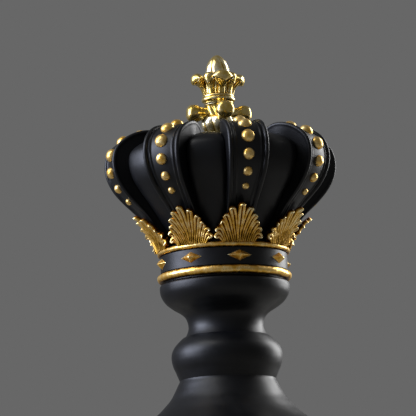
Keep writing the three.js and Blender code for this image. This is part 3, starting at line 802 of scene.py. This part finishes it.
def leaflet(spine, tip, half_width, length, seed):
    """A closed fold that rises from the foot of the leaf and bends out to its tip. Gives its points,
    faces and the painted shading level of each point."""
    side = abs(tip[0])
    wander = np.array(noise.noise_vector(Vector((seed * 3.3, tip[0] * 5, tip[1] * 7)))[:2]) * 0.7 * MM
    end = np.array([tip[0] * half_width, tip[1] * length]) + wander
    foot = np.array([end[0] * mix(0.12, 0.85, side ** 3), -0.05 * length])
    bend = np.array([end[0] * mix(0.5, 1.0, side ** 2), end[1] * 0.75 + 0.26 * length * side ** 3]) - wander
    narrow, wide, rows = 0.8 * MM, 1.55 * MM, 34
    rings, leaf_painted_shading = [], []
    for row in range(rows):
        t = row / (rows - 1)
        centre = (1 - t) ** 2 * foot + 2 * t * (1 - t) * bend + t ** 2 * end
        heading = (1 - t) * (bend - foot) + t * (end - bend)
        heading /= np.linalg.norm(heading)
        half = mix(narrow, wide, ease(t, 0, 0.62))
        half *= math.sqrt(max(0.02, 1 - (max(0, t - 0.74) / 0.26) ** 2.4))
        section, painted_shading_levels = leaflet_section(t, tip, seed)
        ring = []
        for x, rise in section:
            flat = centre + np.array([heading[1], -heading[0]]) * x * half
            place, out = on_spine(spine, flat[1])
            radius, level = place + out * (rise * MM)
            turn = flat[0] / place[0]
            ring.append((radius * math.sin(turn), -radius * math.cos(turn), level))
        rings.append(ring)
        leaf_painted_shading += painted_shading_levels
    points, faces = swept(rings)
    return points, faces, leaf_painted_shading


def add_leaf(number, material):
    spine = leaf_spine()
    length = np.linalg.norm(np.diff(spine, axis=0), axis=1).sum()
    half_width = high("leaf_1").x
    made = [leaflet(spine, tip, half_width, length, number) for tip in LEAF_TIPS]
    turn = (number - 1) * ARCH_TURN + math.radians(LEAF_TURNS[number - 1])
    points, faces = turned_about_axis(joined([shape[:2] for shape in made]), turn)
    leaf = mesh_object(f"acanthus_leaf_{number}", points, faces, 60, weld=False)
    set_painted_shading(leaf, np.concatenate([shape[2] for shape in made]))
    finished(leaf, [f"leaf_{number}"], material)


# ---- finial ---------------------------------------------------------------

def ribbed(outline, sides, ribs, depth, sharp=1.0, twist=0.0):
    """A turned shape pinched by upright flutes, with a depth for each outline point. twist is how
    many turns the flutes make over the whole outline."""
    points, faces = turned(outline, sides)
    outline = np.asarray(outline, float)
    depths = np.tile(depth, sides)
    rise = (points[:, 2] - outline[:, 1].min()) / np.ptp(outline[:, 1])
    for point, pinch, level in zip(points, depths, rise):
        angle = math.atan2(point[0], -point[1]) + twist * TURN * level
        wave = abs(math.cos(angle * ribs / 2)) ** sharp
        point[:2] *= 1 - pinch * (1 - wave)
    return points, faces


FINIAL_STEM = [(0.986, 0.0), (0.986, 0.085), (0.8, 0.19), (0.66, 0.35), (0.64, 0.5),
               (0.77, 0.69), (0.95, 0.83), (1.0, 0.925), (0.93, 1.0)]
CROSS_BITE = 1.3 * MM  # the stem reaches this far up into the cross


def add_finial_stem(material):
    """The stem swells to a gadrooned ball under the cross. Its stud is hidden inside the finial."""
    node = "finial_stem"
    base, top = low(node).z, low("finial_cross").z + CROSS_BITE
    inner, steps = 0.6 * MM, 60
    curve = smooth_curve(FINIAL_STEM, steps) * (radius_of(node), top - base) + (0, base)
    outline = np.concatenate([[(inner, curve[0][1])], curve, [(inner, curve[-1][1])]])
    depth = [0] + [0.07 * ease(t, 0.15, 0.5) for t in np.linspace(0, 1, steps)] + [0]
    made = mesh_object("finial_stem_gilt", *ribbed(outline, 144, 9, depth, 0.8, 0.05), 60)
    painted_shading_from_curvature(made, 4)
    finished(made, [node], material)


ARM = [(0.72, 0.0), (0.68, 0.4), (0.71, 0.5), (0.83, 0.6), (0.97, 0.7), (1.0, 0.79),
       (0.93, 0.88), (0.72, 0.95), (0.4, 0.99), (0.001, 1.0)]


def cross_hub(bottom, top):
    """A thick waisted hub, wrapped in twisted flutes."""
    steps = 40
    waist = smooth_curve([(6.3 * MM, bottom), (5.5 * MM, bottom * 0.4), (5.3 * MM, top * 0.3),
                          (5.35 * MM, top * 0.75), (5.7 * MM, top)], steps)
    outline = np.concatenate([[(1e-6, bottom)], waist, [(1e-6, top)]])
    depth = [0] + [0.1 * ease(t, 0, 0.2) * ease(t, 1, 0.85) for t in np.linspace(0, 1, steps)] + [0]
    return ribbed(outline, 144, 9, depth, 1.2, 0.1)


def add_cross(material):
    """Four short arms that flare to domed ends, on a hub."""
    node = "finial_cross"
    reach, middle, arm_radius = radius_of(node), low(node).z + 3.5 * MM, 3.55 * MM
    hub = cross_hub(low(node).z + CROSS_BITE - middle, high(node).z - middle)
    arm_outline = np.concatenate([[(1e-6, 0)], smooth_curve(ARM, 60) * (arm_radius, reach)])
    arm = moved(turned(arm_outline, 64), Matrix.Rotation(math.pi / 2, 4, "X"))
    arms = [turned_about_axis(arm, quarter * math.pi / 2) for quarter in range(4)]
    shape = moved(joined([hub, *arms]), Matrix.Translation((0, 0, middle)))
    made = melted(mesh_object("finial_cross_gilt", *shape), 0.15 * MM, 4)
    painted_shading_from_curvature(made, 4)
    finished(made, [node], material)


PETAL = [(0.46, 0.24), (0.54, 0.46), (0.63, 0.67), (0.73, 0.81), (0.83, 0.82), (0.895, 0.72), (0.88, 0.61)]


def petal_shape(number, reach, base, top):
    """A fat petal that rises from the bowl, leans out and rolls over at its tip. Every second one
    is smaller and stands closer in."""
    lean = 0.4 if number % 2 else 1
    rows, sides = 48, 32
    path = smooth_curve(PETAL, rows)
    path[:, 0] = PETAL[0][0] + (path[:, 0] - PETAL[0][0]) * lean
    path = path * (reach, top - base) + (0, base)
    along = np.gradient(path, axis=0)
    along /= np.linalg.norm(along, axis=1)[:, None]
    rings = []
    for index, ((radius, height), (dr, dz)) in enumerate(zip(path, along)):
        t = index / (rows - 1)
        half = mix(1.2, mix(1.8, 4.3, lean), ease(t, 0.25, 0.7)) * MM
        half *= math.sqrt(max(0.12, 1 - (max(0, t - 0.65) / 0.35) ** 2))
        thick = mix(0.9, 1.9, ease(t, 0.2, 0.6)) * mix(1, 0.45, ease(t, 0.7, 1)) * MM
        ring = []
        for step in range(sides):
            angle = step / sides * TURN
            sideways, outwards = half * math.cos(angle), thick * math.sin(angle)
            droop = (sideways / half) ** 2 * mix(0.3, 1.3, ease(t, 0.3, 0.7)) * MM * lean
            ring.append((sideways, -(radius + dz * (outwards + droop)), height - dr * (outwards + droop)))
        rings.append(ring)
    return turned_about_axis(swept(rings), number * ARCH_TURN)


def add_cup(material):
    """A fluted bowl on a ringed foot, with eight rolled petals."""
    node = "finial_cup"
    base, top, reach = low(node).z, high(node).z, -low(node).y
    foot = smooth_curve([(0.54, 0.0), (0.55, 0.045), (0.57, 0.065)], 8)
    collar = smooth_curve([(0.57, 0.065), (0.61, 0.09), (0.62, 0.13), (0.605, 0.17), (0.57, 0.195)], 14)
    second = smooth_curve([(0.57, 0.195), (0.59, 0.22), (0.575, 0.26), (0.54, 0.28)], 10)
    bowl = smooth_curve([(0.54, 0.28), (0.51, 0.35), (0.5, 0.46), (0.53, 0.6), (0.56, 0.7)], 30)
    outline = np.concatenate([[(1e-4, 0.0)], foot, collar[1:], second[1:], bowl[1:], [(1e-4, 0.66)]])
    depth = np.where(outline[:, 1] > 0.285, 0.15, 0)
    bowl_shape = ribbed(outline * (reach, top - base) + (0, base), 160, 16, depth, 0.8)
    petals = [petal_shape(number, reach, base, top) for number in range(ARCHES)]
    made = melted(mesh_object("finial_cup_gilt", *joined([bowl_shape, *petals])), 0.13 * MM, 2)
    painted_shading_from_curvature(made, 5)
    finished(made, [node], material)


def add_bud(material):
    """A drop-shaped bud with six twisted flutes."""
    node = "finial_bud"
    base, top, reach = low(node).z, high(node).z, radius_of(node)
    steps = 50
    curve = smooth_curve([(0.62, 0.0), (0.86, 0.1), (1.0, 0.27), (0.95, 0.46), (0.79, 0.67), (0.5, 0.86),
                          (0.2, 0.97), (0.01, 1.0)], steps)
    outline = np.concatenate([[(1e-4, 0.0)], curve]) * (reach, top - base) + (0, base)
    depth = [0] + [0.1 * (1 - t) ** 0.5 for t in np.linspace(0, 1, steps)]
    made = mesh_object("finial_bud_gilt", *ribbed(outline, 120, 6, depth, 0.6, 0.08), 60)
    painted_shading_from_curvature(made, 5)
    finished(made, [node], material)


# ---- base, felt and fixings -----------------------------------------------

def add_felt(material):
    """A cut disc with a slightly ragged edge and a pinhole at its middle."""
    node = "felt_pad"
    radius, top, hole = radius_of(node), high(node).z, 0.0005
    outline = smooth_curve([(0.996, 0.0), (1.0, 0.25), (1.0, 0.75), (0.99, 1.0)], 9) * (radius, top)
    outline = np.concatenate([[(hole, 0.0)], outline, [(hole, top)]])
    points, faces = turned(outline)
    made = mesh_object("felt_disc", uneven(points, 2.5 * MM, 0.2 * MM), faces, 50)
    finished(made, [node], material)


def paint_nodes(prefixes, material):
    """Gives the CAD solids whose names start with a prefix their material."""
    for name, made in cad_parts.items():
        if name.startswith(tuple(prefixes)):
            made.data.materials.clear()
            made.data.materials.append(material)


add_camera()
add_studio()
resin = black_resin()
gilt = gilding("rubbed_gold_paint", "#5A2F06", "#EDB948", "#FFF3C0", 0.2, 0.2, 0.6)
finial_gilt = gilding("burnished_gold_paint", "#6E4510", "#DEBF62", "#FFF7D4", 0.17, 0.12, 0.85)
add_castings(resin)
add_cap(resin)
for seed, ring in enumerate(RINGS):
    add_ring(ring, gilt, seed * 3.7)
for number in range(1, ARCHES + 1):
    add_arch(number, resin)
    add_stud_row(number, gilt)
    add_leaf(number, gilt)
    add_diamond(number, gilt)
add_finial_stem(finial_gilt)
add_cross(finial_gilt)
add_cup(finial_gilt)
add_bud(finial_gilt)
add_felt(pressed_wool_felt())
paint_nodes(["base_plate"], powder_coated_steel())
paint_nodes(["ballast"], sand_cast_iron())
paint_nodes(["base_screw", "tie_rod", "lower_washer", "lower_nut", "upper_washer", "upper_nut"],
            zinc_plated_steel())
